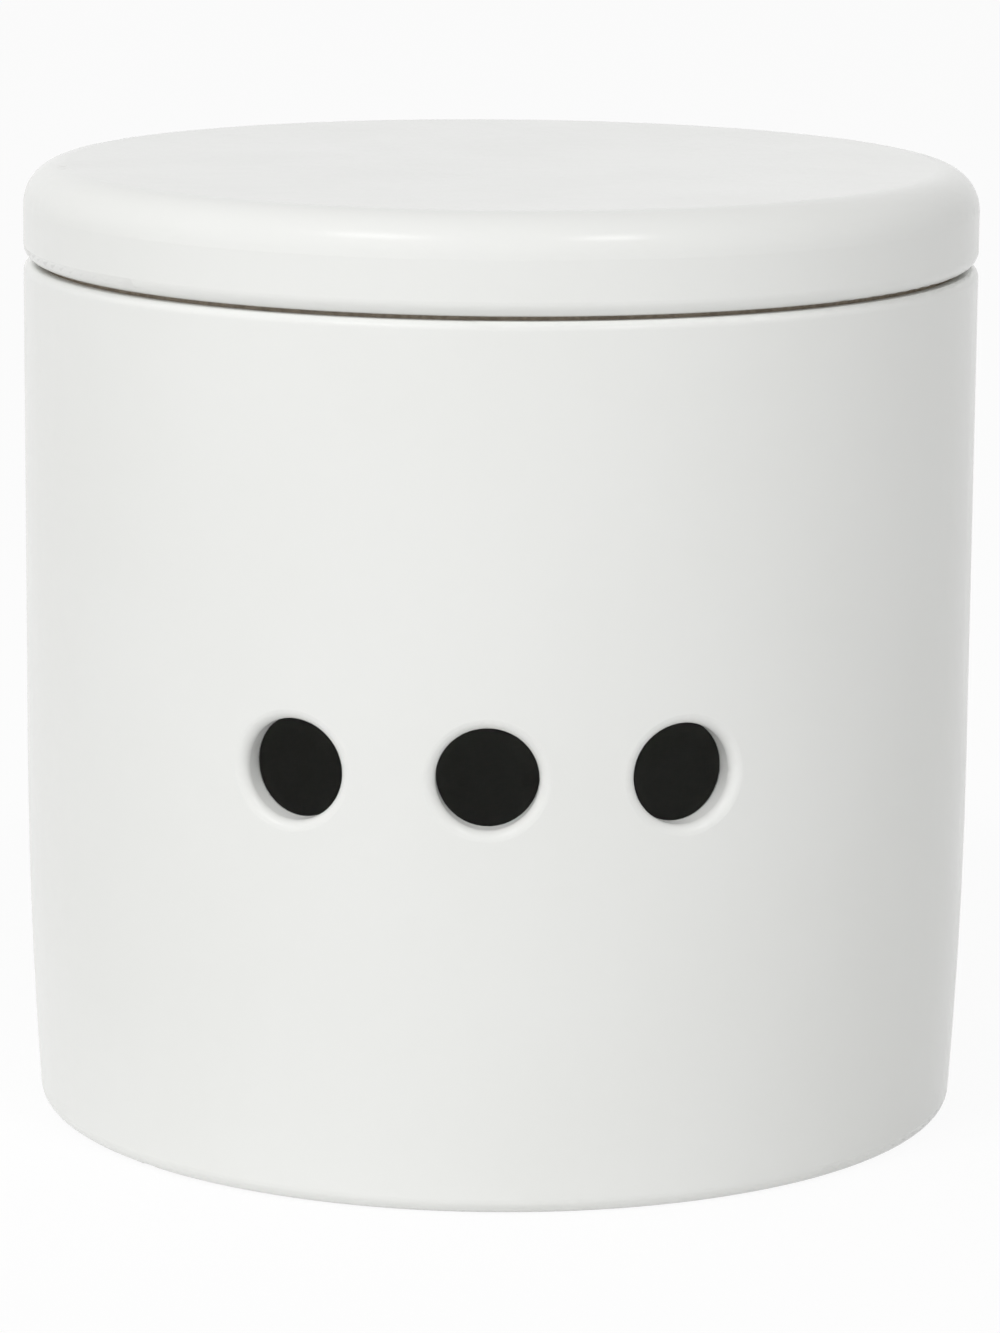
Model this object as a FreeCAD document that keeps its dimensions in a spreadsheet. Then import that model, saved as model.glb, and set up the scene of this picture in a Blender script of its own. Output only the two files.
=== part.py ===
"""Stoneware garlic keeper: a pot with three air vents, and a thick disc lid that drops into its mouth.

The frame: origin under the middle of the foot, +Z up, millimetres, the middle vent facing -Y.
"""
import FreeCAD, Part
import math
import os
import Sketcher

# Driving dimensions: name, millimetres or degrees, and what it measures
SIZES = [
    ("pot_diameter", 115.0, "outside of the straight wall"),
    ("pot_height", 103.2, "table to rim"),
    ("pot_wall", 4.5, "thickness of the side wall"),
    ("pot_floor", 6.0, "thickness of the floor inside the foot ring"),
    ("tuck_depth", 1.45, "how far the wall draws in at the foot"),
    ("tuck_height", 43.0, "height where the wall starts to draw in"),
    ("foot_corner", 2.0, "rounding where the wall meets the table"),
    ("foot_width", 6.0, "width of the bare ring that the pot stands on"),
    ("foot_recess", 1.6, "how far the base is lifted inside the foot ring"),
    ("foot_ease", 0.7, "bevel on the inner edge of the foot ring"),
    ("floor_cove", 9.0, "rounding inside, between wall and floor"),
    ("rim_outer_edge", 1.0, "rounding of the rim outside"),
    ("rim_inner_edge", 1.0, "rounding of the rim inside"),
    ("vent_bore", 11.8, "air vent"),
    ("vent_count", 3, "air vents in the row"),
    ("vent_spacing", 23.0, "angle between neighbouring vents"),
    ("vent_height", 51.2, "table to the middle of a vent"),
    ("vent_edge", 1.2, "rounding of a vent's edges, inside and out"),
    ("lid_height", 11.9, "rim to the top of the lid"),
    ("lid_plate", 6.5, "thickness of the lid inside its flange"),
    ("lid_shoulder", 5.0, "rounding of the lid's upper edge"),
    ("lid_lower_edge", 1.8, "rounding of the lid's lower edge"),
    ("seat_width", 1.2, "width of the land that rests on the rim"),
    ("seat_relief", 0.45, "gap that shows between rim and lid"),
    ("flange_clearance", 1.0, "gap between flange and mouth, each side"),
    ("flange_wall", 4.5, "thickness of the flange"),
    ("flange_depth", 8.0, "how far the flange reaches below the rim"),
    ("flange_lead_in", 0.6, "how much narrower the flange is at its tip, each side"),
    ("flange_edge", 1.0, "bevels on the flange's tip"),
    ("lid_cove", 4.0, "rounding inside, between flange and plate"),
]

# Radii and heights that follow from the driving dimensions
WALL_RADIUS = "Sizes.pot_diameter / 2"
BORE_RADIUS = "Sizes.pot_diameter / 2 - Sizes.pot_wall"
FOOT_INNER_RADIUS = "Sizes.pot_diameter / 2 - Sizes.tuck_depth - Sizes.foot_width"
TUCK_ARC = "(Sizes.tuck_depth ^ 2 + Sizes.tuck_height ^ 2) / (2 * Sizes.tuck_depth)"
FLOOR_TOP = "Sizes.foot_recess + Sizes.pot_floor"
SEAT_RADIUS = BORE_RADIUS + " + Sizes.rim_inner_edge + Sizes.seat_width"
FLANGE_RADIUS = BORE_RADIUS + " - Sizes.flange_clearance"
FLANGE_TIP_RADIUS = FLANGE_RADIUS + " - Sizes.flange_lead_in"
FLANGE_INNER_RADIUS = FLANGE_TIP_RADIUS + " - Sizes.flange_wall"
PLATE_UNDERSIDE = "Sizes.lid_height - Sizes.lid_plate"

SAME_PLACE = 1e-4
ROOT_POINT = (-1, 1)
SKETCH_AXES = {"level": -1, "upright": -2}

doc = FreeCAD.newDocument("GarlicKeeper")


def make_sheet():
    sheet = doc.addObject("Spreadsheet::Sheet", "Sizes")
    for row, (alias, size, meaning) in enumerate(SIZES, 1):
        sheet.set("A%d" % row, alias)
        sheet.set("B%d" % row, str(size))
        sheet.set("C%d" % row, meaning)
        sheet.setAlias("B%d" % row, alias)
    doc.recompute()
    return sheet


sheet = make_sheet()


def value(expression):
    return float(sheet.evalExpression(expression))


def make_body(label):
    body = doc.addObject("PartDesign::Body", label.capitalize())
    body.Label = label
    return body


def origin_feature(body, role):
    return next(f for f in body.Origin.OriginFeatures if f.Role == role)


def upright_sketch(body, name):
    """A sketch on the body's own upright plane: x is the radius at the right, y is the height."""
    sketch = body.newObject("Sketcher::SketchObject", name)
    sketch.AttachmentSupport = [(origin_feature(body, "XZ_Plane"), "")]
    sketch.MapMode = "FlatFace"
    return sketch


def bind(sketch, constraint, expression):
    """Adds a dimension whose size is an expression on the sheet."""
    index = sketch.addConstraint(constraint)
    sketch.setExpression("Constraints[%d]" % index, expression)


def pin(sketch, line, end, radius, height):
    """Ties one end of a line to a radius and a height, each an expression, or None for the axis."""
    if radius is None:
        sketch.addConstraint(Sketcher.Constraint("PointOnObject", line, end, SKETCH_AXES["upright"]))
    else:
        across = Sketcher.Constraint("DistanceX", *ROOT_POINT, line, end, value(radius))
        bind(sketch, across, radius)
    if height is None:
        sketch.addConstraint(Sketcher.Constraint("PointOnObject", line, end, SKETCH_AXES["level"]))
    else:
        up = Sketcher.Constraint("DistanceY", *ROOT_POINT, line, end, value(height))
        bind(sketch, up, height)


def point(corner):
    """Where a corner is. One that is a vector already is a first guess, which tangents then settle."""
    if isinstance(corner, FreeCAD.Vector):
        return corner
    radius, height = corner
    return FreeCAD.Vector(value(radius) if radius else 0, value(height) if height else 0, 0)


def arc_about(centre, start, end):
    """The arc from start to end, anticlockwise about a centre."""
    circle = Part.Circle(centre, FreeCAD.Vector(0, 0, 1), start.distanceToPoint(centre))
    return Part.ArcOfCircle(circle, circle.parameter(start), circle.parameter(end))


def draw_section(sketch, corners, bends=None):
    """A closed half section through the corners.

    A side in bends is an arc, given by its centre and an expression for its radius. It runs smoothly into the
    sides next to it.
    """
    bends = bends or {}
    count = len(corners)
    for side in range(count):
        start = point(corners[side])
        end = point(corners[(side + 1) % count])
        if side in bends:
            sketch.addGeometry(arc_about(bends[side][0], start, end))
        else:
            sketch.addGeometry(Part.LineSegment(start, end))
    for side in range(count):
        following = (side + 1) % count
        meeting = "Tangent" if side in bends or following in bends else "Coincident"
        sketch.addConstraint(Sketcher.Constraint(meeting, side, 2, following, 1))
        if not isinstance(corners[side], FreeCAD.Vector):
            pin(sketch, side, 1, *corners[side])
    for side, (centre, radius) in bends.items():
        bind(sketch, Sketcher.Constraint("Radius", side, value(radius)), radius)


def revolve(body, sketch, name):
    turned = body.newObject("PartDesign::Revolution", name)
    turned.Profile = sketch
    turned.ReferenceAxis = (sketch, ["V_Axis"])
    turned.Angle = 360
    doc.recompute()
    return turned


def rings_at(shape, radius, height):
    """Names of the circular edges round the axis at a radius and a height."""
    names = []
    for number, edge in enumerate(shape.Edges, 1):
        if not isinstance(edge.Curve, Part.Circle):
            continue
        off_radius = abs(edge.Curve.Radius - value(radius))
        off_height = abs(edge.Curve.Center.z - value(height))
        if off_radius < SAME_PLACE and off_height < SAME_PLACE:
            names.append("Edge%d" % number)
    return names


def dress_edges(body, kind, name, base, edges, size):
    """A fillet or a chamfer on some edges of the feature before it."""
    if not edges:
        raise RuntimeError(name + " found no edge")
    feature = body.newObject("PartDesign::" + kind, name)
    feature.Base = (base, edges)
    feature.setExpression("Radius" if kind == "Fillet" else "Size", size)
    doc.recompute()
    return feature


def dress_rings(body, base, rings):
    """One fillet or chamfer after another: each is its kind, its name, where its ring is, and its size."""
    for kind, name, radius, height, size in rings:
        base = dress_edges(body, kind, name, base, rings_at(base.Shape, radius, height), size)
    return base


def vent_edges(shape):
    """Names of the edges where the vents break out of the wall."""
    rims = []
    for face in shape.Faces:
        surface = face.Surface
        if not isinstance(surface, Part.Cylinder) or abs(surface.Axis.z) > SAME_PLACE:
            continue
        rims += [edge for edge in face.Edges if not isinstance(edge.Curve, Part.Line)]
    numbered = enumerate(shape.Edges, 1)
    return ["Edge%d" % number for number, edge in numbered if any(edge.isSame(rim) for rim in rims)]


def cut_vents(body, base):
    """A row of radial bores through the front wall, evenly spaced about the middle one."""
    sketch = upright_sketch(body, "VentSketch")
    upright = FreeCAD.Vector(0, 1, 0)
    sketch.AttachmentOffset = FreeCAD.Placement(FreeCAD.Vector(), FreeCAD.Rotation(upright, 1))
    half_row = "-Sizes.vent_spacing * (Sizes.vent_count - 1) / 2"
    sketch.setExpression("AttachmentOffset.Rotation.Angle", half_row)
    centre = FreeCAD.Vector(0, value("Sizes.vent_height"), 0)
    outline = Part.Circle(centre, FreeCAD.Vector(0, 0, 1), value("Sizes.vent_bore") / 2)
    circle = sketch.addGeometry(outline)
    circle_centre = 3
    pin(sketch, circle, circle_centre, None, "Sizes.vent_height")
    bind(sketch, Sketcher.Constraint("Diameter", circle, value("Sizes.vent_bore")), "Sizes.vent_bore")

    bore = body.newObject("PartDesign::Pocket", "VentBore")
    bore.Profile = sketch
    bore.Reversed = True
    bore.setExpression("Length", "Sizes.pot_diameter")
    doc.recompute()

    row = body.newObject("PartDesign::PolarPattern", "VentRow")
    row.Originals = [bore]
    row.Axis = (origin_feature(body, "Z_Axis"), [""])
    row.Mode = "Spacing"
    row.setExpression("Offset", "Sizes.vent_spacing")
    row.setExpression("Occurrences", "Sizes.vent_count")
    body.Tip = row
    doc.recompute()

    plugs = "Sizes.vent_count * pi / 4 * Sizes.vent_bore ^ 2 * Sizes.pot_wall"
    removed = base.Shape.Volume - row.Shape.Volume
    if removed < value(plugs) / 2:
        raise RuntimeError("the vents do not go through the wall")
    return dress_edges(body, "Fillet", "VentEdges", row, vent_edges(row.Shape), "Sizes.vent_edge")


def foot_bends():
    """Where the rounding of the foot and the drawn-in wall above it meet, and the centre of each arc."""
    wall_start = point((WALL_RADIUS, "Sizes.tuck_height"))
    tuck_arc = value(TUCK_ARC)
    corner = value("Sizes.foot_corner")
    tuck_centre = wall_start - FreeCAD.Vector(tuck_arc, 0, 0)
    between = tuck_arc - corner
    across = math.sqrt(between**2 - (wall_start.y - corner) ** 2)
    corner_centre = FreeCAD.Vector(tuck_centre.x + across, corner, 0)
    meeting = tuck_centre + (corner_centre - tuck_centre) * (tuck_arc / between)
    return corner_centre, meeting, tuck_centre


def make_pot():
    body = make_body("pot")
    section = upright_sketch(body, "PotSection")
    corner_centre, meeting, tuck_centre = foot_bends()
    corners = [
        (None, "Sizes.foot_recess"),
        (FOOT_INNER_RADIUS, "Sizes.foot_recess"),
        (FOOT_INNER_RADIUS, None),
        FreeCAD.Vector(corner_centre.x, 0, 0),
        meeting,
        (WALL_RADIUS, "Sizes.tuck_height"),
        (WALL_RADIUS, "Sizes.pot_height"),
        (BORE_RADIUS, "Sizes.pot_height"),
        (BORE_RADIUS, FLOOR_TOP),
        (None, FLOOR_TOP),
    ]
    foot_line, foot_corner, tuck = 2, 3, 4
    bends = {
        foot_corner: (corner_centre, "Sizes.foot_corner"),
        tuck: (tuck_centre, TUCK_ARC),
    }
    draw_section(section, corners, bends)
    section.addConstraint(Sketcher.Constraint("Horizontal", foot_line))
    turned = revolve(body, section, "PotTurned")
    dressed = dress_rings(body, turned, [
        ("Chamfer", "FootInnerEdge", FOOT_INNER_RADIUS, "0", "Sizes.foot_ease"),
        ("Fillet", "FloorCove", BORE_RADIUS, FLOOR_TOP, "Sizes.floor_cove"),
        ("Fillet", "RimOuterEdge", WALL_RADIUS, "Sizes.pot_height", "Sizes.rim_outer_edge"),
        ("Fillet", "RimInnerEdge", BORE_RADIUS, "Sizes.pot_height", "Sizes.rim_inner_edge"),
    ])
    cut_vents(body, dressed)
    return body


def make_lid():
    """The lid, as wide as the pot, drawn from the plane of its seat and then set on the rim."""
    body = make_body("lid")
    section = upright_sketch(body, "LidSection")
    corners = [
        (None, "Sizes.lid_height"),
        (None, PLATE_UNDERSIDE),
        (FLANGE_INNER_RADIUS, PLATE_UNDERSIDE),
        (FLANGE_INNER_RADIUS, "-Sizes.flange_depth"),
        (FLANGE_TIP_RADIUS, "-Sizes.flange_depth"),
        (FLANGE_RADIUS, None),
        (SEAT_RADIUS, None),
        (SEAT_RADIUS, "Sizes.seat_relief"),
        (WALL_RADIUS, "Sizes.seat_relief"),
        (WALL_RADIUS, "Sizes.lid_height"),
    ]
    draw_section(section, corners)
    turned = revolve(body, section, "LidTurned")
    dress_rings(body, turned, [
        ("Fillet", "Shoulder", WALL_RADIUS, "Sizes.lid_height", "Sizes.lid_shoulder"),
        ("Fillet", "LowerEdge", WALL_RADIUS, "Sizes.seat_relief", "Sizes.lid_lower_edge"),
        ("Chamfer", "FlangeTipOutside", FLANGE_TIP_RADIUS, "-Sizes.flange_depth", "Sizes.flange_edge"),
        ("Chamfer", "FlangeTipInside", FLANGE_INNER_RADIUS, "-Sizes.flange_depth", "Sizes.flange_edge"),
        ("Fillet", "PlateCove", FLANGE_INNER_RADIUS, PLATE_UNDERSIDE, "Sizes.lid_cove"),
    ])
    body.setExpression("Placement.Base.z", "Sizes.pot_height")
    return body


def check(bodies):
    doc.recompute()
    for item in doc.Objects:
        if "Invalid" in item.State or "Error" in item.State:
            raise RuntimeError(item.Name + " failed: " + str(item.State))
    for body in bodies:
        shape = body.Shape
        if shape.isNull() or not shape.isValid() or len(shape.Solids) != 1:
            raise RuntimeError(body.Label + " is not one valid solid")


def main():
    bodies = [make_pot(), make_lid()]
    check(bodies)
    os.makedirs("parts", exist_ok=True)
    for body in bodies:
        body.Shape.exportStep("parts/" + body.Label + ".step")
        print(body.Label, "volume", round(body.Shape.Volume / 1000, 1), "cm3")


main()
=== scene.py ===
"""Looks of the garlic keeper: satin white glaze, bare clay where it rests (at the rim also dark painted shade
in the seam under the lid), soft studio light.
"""
import math

import bpy
from mathutils import Matrix, Vector


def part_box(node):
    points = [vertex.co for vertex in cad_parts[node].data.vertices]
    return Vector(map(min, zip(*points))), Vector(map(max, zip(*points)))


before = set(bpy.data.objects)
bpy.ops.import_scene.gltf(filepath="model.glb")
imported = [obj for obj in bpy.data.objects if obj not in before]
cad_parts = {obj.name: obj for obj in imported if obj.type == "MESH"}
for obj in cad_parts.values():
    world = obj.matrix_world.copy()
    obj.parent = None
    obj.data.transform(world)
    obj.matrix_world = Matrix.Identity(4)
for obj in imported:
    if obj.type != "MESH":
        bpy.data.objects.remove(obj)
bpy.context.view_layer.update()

MILLIMETRE = 0.001

# The camera, measured on the photograph: metres from the pot's axis and above the table, angles in radians
CAMERA_DISTANCE = 0.668
CAMERA_HEIGHT = 0.1845
CAMERA_PITCH = 0.1942
CAMERA_TURN = -0.0004
CAMERA_ROLL = 0.008
CAMERA_SWING = math.radians(1.1)
CAMERA_LENS = 150.0
CAMERA_SENSOR = 36.0

# Colours, as linear light
GLAZE = (0.845, 0.85, 0.83, 1.0)
GLAZE_POOLED = (0.835, 0.84, 0.818, 1.0)
BARE_CLAY = (0.52, 0.45, 0.37, 1.0)
BARE_CLAY_DARK = (0.42, 0.355, 0.285, 1.0)
FLOOR = (0.93, 0.93, 0.93, 1.0)
WHITE = (1.0, 1.0, 1.0, 1.0)

# Noise in the skin: the width of its patches, and the levels between which it passes from one look to another
POOLS = 30.0 * MILLIMETRE
POOL_LEVELS = (0.35, 0.70)
SHEEN = 12.0 * MILLIMETRE
SHEEN_LEVELS = (0.30, 0.70)
SPECKLES = 0.9 * MILLIMETRE
SPECKLE_LEVELS = (0.40, 0.62)
RIPPLES = 12.0 * MILLIMETRE
GRAINS = 0.6 * MILLIMETRE

# Relief of the skin: its depth, and how much of that shows
RIPPLE_DEPTH = 0.3 * MILLIMETRE
RIPPLE_STRENGTH = 0.10
GRAIN_DEPTH = 0.12 * MILLIMETRE
GRAIN_ON_GLAZE = 0.06
GRAIN_ON_CLAY = 0.8

# Gloss: the glaze's roughness varies with its sheen, from one value to the other
GLAZE_IOR = 1.5
GLAZE_SPECULAR = 0.13
GLAZE_ROUGHNESS = (0.19, 0.23)
CLAY_ROUGHNESS = 0.85

# Heights and radii on the solids. The flange stands off the lid's edge by the pot's wall and the play
SEAT_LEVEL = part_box("pot")[1][2]
FLANGE_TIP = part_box("lid")[0][2]
OUTER_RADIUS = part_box("lid")[1][0]
WALL = 4.5 * MILLIMETRE
PLAY = 1.0 * MILLIMETRE
FLANGE_RADIUS = OUTER_RADIUS - WALL - PLAY

# How far the glaze is wiped off from the foot, the rim, the seat and the flange's tip, and how soft it ends.
# The bare clay on rim and seat is also painted shade: it darkens the seam between lid and pot
BARE_FOOT = 0.15 * MILLIMETRE
BARE_RIM_AND_SEAM_SHADE = 0.08 * MILLIMETRE
BARE_SEAT_AND_SEAM_SHADE = 0.52 * MILLIMETRE
BARE_TIP = 1.0 * MILLIMETRE
GLAZED_EDGE = 2.0 * MILLIMETRE
WIPE_EDGE = 0.06 * MILLIMETRE

# The floor's width in metres, and the share of white seen in it, which leaves the object's shadow faint
FLOOR_SIZE = 12.0
FLOOR_GLOW = 0.92

# Light of the surroundings, and the sides that give less of it:
# direction, cosine where the loss starts, cosine where it is full, and the loss
WORLD_LIGHT = 0.89
DIM_SIDES = [
    ((1, 0, 0), 0.1, 0.9, 0.58),
    ((0, 0, 1), 0.5, 1.0, 0.60),
    ((0, 1, 0), 0.2, 1.0, 0.20),
]

# Softboxes: name, azimuth and elevation in degrees as seen from the pot, width and height in metres, watts
SOFTBOXES = [
    ("key_left", -34.5, 47.0, 0.50, 0.30, 6.2),
    ("fill_right", 32.5, 48.0, 0.34, 0.26, 4.8),
]
SOFTBOX_DISTANCE = 1.6
POT_MIDDLE = Vector((0, 0, 0.07))


def feed(tree, entry, value):
    """Gives an input a constant, or links it to the output of a node."""
    if isinstance(value, bpy.types.NodeSocket):
        tree.links.new(value, entry)
    else:
        entry.default_value = value


def add(tree, kind, **inputs):
    """A node of one kind, with the inputs named fed."""
    node = tree.nodes.new(kind)
    for name, value in inputs.items():
        feed(tree, node.inputs[name.replace("_", " ")], value)
    return node


def noise(tree, coordinates, size, detail=3.0):
    """Noise whose patches are about size metres across."""
    return add(tree, "ShaderNodeTexNoise", Vector=coordinates, Scale=1 / size, Detail=detail).outputs["Fac"]


def spread(tree, factor, low, high, to_low=0.0, to_high=1.0):
    """A soft step of the factor: to_low where it is low, to_high where it is high."""
    node = add(tree, "ShaderNodeMapRange", Value=factor, From_Min=low, From_Max=high)
    node.interpolation_type = "SMOOTHSTEP"
    feed(tree, node.inputs["To Min"], to_low)
    feed(tree, node.inputs["To Max"], to_high)
    return node.outputs["Result"]


def between(tree, factor, first, second):
    """A value that passes evenly from the first to the second as the factor goes from 0 to 1."""
    return add(tree, "ShaderNodeMapRange", Value=factor, To_Min=first, To_Max=second).outputs["Result"]


def mix_colour(tree, factor, first, second):
    node = tree.nodes.new("ShaderNodeMix")
    node.data_type = "RGBA"
    feed(tree, node.inputs["Factor"], factor)
    feed(tree, node.inputs["A"], first)
    feed(tree, node.inputs["B"], second)
    return node.outputs["Result"]


def combine(tree, operation, first, second):
    """Two values joined by one operation, such as MULTIPLY."""
    node = tree.nodes.new("ShaderNodeMath")
    node.operation = operation
    feed(tree, node.inputs[0], first)
    feed(tree, node.inputs[1], second)
    return node.outputs["Value"]


def vector_math(tree, operation, *vectors):
    """A node that does one operation on one or two vectors."""
    node = tree.nodes.new("ShaderNodeVectorMath")
    node.operation = operation
    for entry, vector in zip(node.inputs, vectors):
        feed(tree, entry, vector)
    return node


def new_material(name):
    material = bpy.data.materials.new(name)
    material.use_nodes = True
    material.node_tree.nodes.clear()
    return material, material.node_tree


def glaze_and_clay(tree, coordinates, bare_clay_and_seam_shade):
    """The colour of the skin."""
    pooling = spread(tree, noise(tree, coordinates, POOLS), *POOL_LEVELS)
    glaze = mix_colour(tree, pooling, GLAZE, GLAZE_POOLED)
    speckles = spread(tree, noise(tree, coordinates, SPECKLES, detail=4.0), *SPECKLE_LEVELS)
    clay = mix_colour(tree, speckles, BARE_CLAY, BARE_CLAY_DARK)
    return mix_colour(tree, bare_clay_and_seam_shade, glaze, clay)


def relief(tree, coordinates, bare_clay_and_seam_shade):
    """Slow ripples in the glaze, and a grain that shows where the clay is bare."""
    ripples = noise(tree, coordinates, RIPPLES, detail=1.0)
    skin = add(tree, "ShaderNodeBump", Height=ripples, Distance=RIPPLE_DEPTH, Strength=RIPPLE_STRENGTH)
    grains = noise(tree, coordinates, GRAINS, detail=5.0)
    grit = spread(tree, bare_clay_and_seam_shade, 0.0, 1.0, GRAIN_ON_GLAZE, GRAIN_ON_CLAY)
    grain = add(tree, "ShaderNodeBump", Height=grains, Distance=GRAIN_DEPTH, Strength=grit)
    feed(tree, grain.inputs["Normal"], skin.outputs["Normal"])
    return grain.outputs["Normal"]


def stoneware(name, bare):
    """Satin white glaze over stoneware. bare(tree, coordinates) gives 1 where the clay is left bare, which on
    rim and seat is also painted shade in the seam between lid and pot.
    """
    material, tree = new_material(name)
    coordinates = add(tree, "ShaderNodeTexCoord").outputs["Object"]
    # bare clay, which on rim and seat is also painted shade in the seam between lid and pot
    bare_clay_and_seam_shade = bare(tree, coordinates)
    sheen = spread(tree, noise(tree, coordinates, SHEEN), *SHEEN_LEVELS, *GLAZE_ROUGHNESS)
    shader = add(tree, "ShaderNodeBsdfPrincipled", IOR=GLAZE_IOR, Specular_IOR_Level=GLAZE_SPECULAR)
    feed(tree, shader.inputs["Base Color"], glaze_and_clay(tree, coordinates, bare_clay_and_seam_shade))
    feed(tree, shader.inputs["Roughness"], between(tree, bare_clay_and_seam_shade, sheen, CLAY_ROUGHNESS))
    feed(tree, shader.inputs["Normal"], relief(tree, coordinates, bare_clay_and_seam_shade))
    add(tree, "ShaderNodeOutputMaterial", Surface=shader.outputs["BSDF"])
    return material


def height(tree, coordinates):
    """Height above the table, at rest."""
    return add(tree, "ShaderNodeSeparateXYZ", Vector=coordinates).outputs["Z"]


def radius(tree, coordinates):
    """Distance from the pot's axis."""
    flat = vector_math(tree, "MULTIPLY", coordinates, (1, 1, 0))
    return vector_math(tree, "LENGTH", flat.outputs["Vector"]).outputs["Value"]


def sheltered(tree, coordinates):
    """1 inside the glazed edge that rim and seat both have."""
    inside = OUTER_RADIUS - GLAZED_EDGE
    return spread(tree, radius(tree, coordinates), inside, inside - WIPE_EDGE)


def pot_bare_clay_and_seam_shade(tree, coordinates):
    """The ring that the pot stands on and the one that the lid rests on are wiped clean of glaze. The dark
    clay of the rim's ring is also painted shade in the seam under the lid.
    """
    level = height(tree, coordinates)
    foot = spread(tree, level, BARE_FOOT, BARE_FOOT - WIPE_EDGE)
    rim = spread(tree, level, SEAT_LEVEL - BARE_RIM_AND_SEAM_SHADE, SEAT_LEVEL - BARE_RIM_AND_SEAM_SHADE + WIPE_EDGE)
    # painted shade: the bare rim ring darkens the seam under the lid
    seat = combine(tree, "MULTIPLY", rim, sheltered(tree, coordinates))
    return combine(tree, "MAXIMUM", foot, seat)


def lid_bare_clay_and_seam_shade(tree, coordinates):
    """The lid's seat and the tip of its flange, on which it is fired, are bare. The dark clay of the seat is
    also painted shade in the seam above the rim.
    """
    level = height(tree, coordinates)
    below = spread(tree, level, SEAT_LEVEL + BARE_SEAT_AND_SEAM_SHADE, SEAT_LEVEL + BARE_SEAT_AND_SEAM_SHADE - WIPE_EDGE)
    past_flange = FLANGE_RADIUS + WIPE_EDGE
    beyond = spread(tree, radius(tree, coordinates), past_flange, past_flange + WIPE_EDGE)
    land = combine(tree, "MULTIPLY", beyond, sheltered(tree, coordinates))
    # painted shade: the bare seat darkens the seam above the rim
    seat = combine(tree, "MULTIPLY", below, land)
    tip = spread(tree, level, FLANGE_TIP + BARE_TIP, FLANGE_TIP + BARE_TIP - WIPE_EDGE)
    return combine(tree, "MAXIMUM", seat, tip)


def dress(node, material):
    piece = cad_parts[node]
    piece.data.materials.clear()
    piece.data.materials.append(material)


def shows_background(tree):
    """1 for rays that show the background: straight to the camera, mirrored, or through glass."""
    path = add(tree, "ShaderNodeLightPath")
    mirrored = combine(tree, "MAXIMUM", path.outputs["Is Camera Ray"], path.outputs["Is Glossy Ray"])
    return combine(tree, "MAXIMUM", mirrored, path.outputs["Is Transmission Ray"])


def make_floor():
    bpy.ops.mesh.primitive_plane_add(size=FLOOR_SIZE)
    floor = bpy.context.object
    floor.name = "floor"
    material, tree = new_material("floor_white")
    matte = add(tree, "ShaderNodeBsdfDiffuse", Color=FLOOR)
    glow = add(tree, "ShaderNodeEmission", Color=WHITE, Strength=1.0)
    blend = add(tree, "ShaderNodeMixShader")
    feed(tree, blend.inputs["Fac"], combine(tree, "MULTIPLY", shows_background(tree), FLOOR_GLOW))
    feed(tree, blend.inputs[1], matte.outputs["BSDF"])
    feed(tree, blend.inputs[2], glow.outputs["Emission"])
    add(tree, "ShaderNodeOutputMaterial", Surface=blend.outputs["Shader"])
    floor.data.materials.append(material)


def light_by_direction(tree):
    """Even light, less the loss on each dim side."""
    direction = add(tree, "ShaderNodeTexCoord").outputs["Generated"]
    light = WORLD_LIGHT
    for axis, start, full, loss in DIM_SIDES:
        facing = vector_math(tree, "DOT_PRODUCT", direction, axis).outputs["Value"]
        light = combine(tree, "SUBTRACT", light, spread(tree, facing, start, full, 0.0, loss))
    return light


def make_world():
    """White surroundings, dimmer as light than as background."""
    world = bpy.data.worlds.new("studio")
    bpy.context.scene.world = world
    world.use_nodes = True
    tree = world.node_tree
    tree.nodes.clear()
    strength = between(tree, shows_background(tree), light_by_direction(tree), 1.0)
    background = add(tree, "ShaderNodeBackground", Color=WHITE, Strength=strength)
    add(tree, "ShaderNodeOutputWorld", Surface=background.outputs["Background"])


def make_softbox(name, azimuth, elevation, width, length, power):
    """An area light that faces the pot. Azimuth 0 is in front of it and grows to the right."""
    light = bpy.data.lights.new(name, "AREA")
    light.shape = "RECTANGLE"
    light.size = width
    light.size_y = length
    light.energy = power
    lamp = bpy.data.objects.new(name, light)
    bpy.context.collection.objects.link(lamp)
    across = math.radians(azimuth)
    up = math.radians(elevation)
    outward = Vector((math.sin(across) * math.cos(up), -math.cos(across) * math.cos(up), math.sin(up)))
    lamp.location = POT_MIDDLE + outward * SOFTBOX_DISTANCE
    lamp.rotation_euler = (-outward).to_track_quat("-Z", "Y").to_euler()


def make_camera():
    data = bpy.data.cameras.new("camera")
    data.lens = CAMERA_LENS
    data.sensor_width = CAMERA_SENSOR
    camera = bpy.data.objects.new("camera", data)
    bpy.context.collection.objects.link(camera)
    swing = Matrix.Rotation(CAMERA_SWING, 4, "Z")
    place = Matrix.Translation((0, -CAMERA_DISTANCE, CAMERA_HEIGHT))
    turn = Matrix.Rotation(CAMERA_TURN, 4, "Z")
    tilt = Matrix.Rotation(math.pi / 2 - CAMERA_PITCH, 4, "X")
    roll = Matrix.Rotation(CAMERA_ROLL, 4, "Z")
    camera.matrix_world = swing @ place @ turn @ tilt @ roll
    bpy.context.scene.camera = camera


dress("pot", stoneware("pot_glaze", pot_bare_clay_and_seam_shade))
dress("lid", stoneware("lid_glaze", lid_bare_clay_and_seam_shade))
make_floor()
make_world()
for softbox in SOFTBOXES:
    make_softbox(*softbox)
make_camera()
bpy.context.scene.view_settings.view_transform = "Standard"
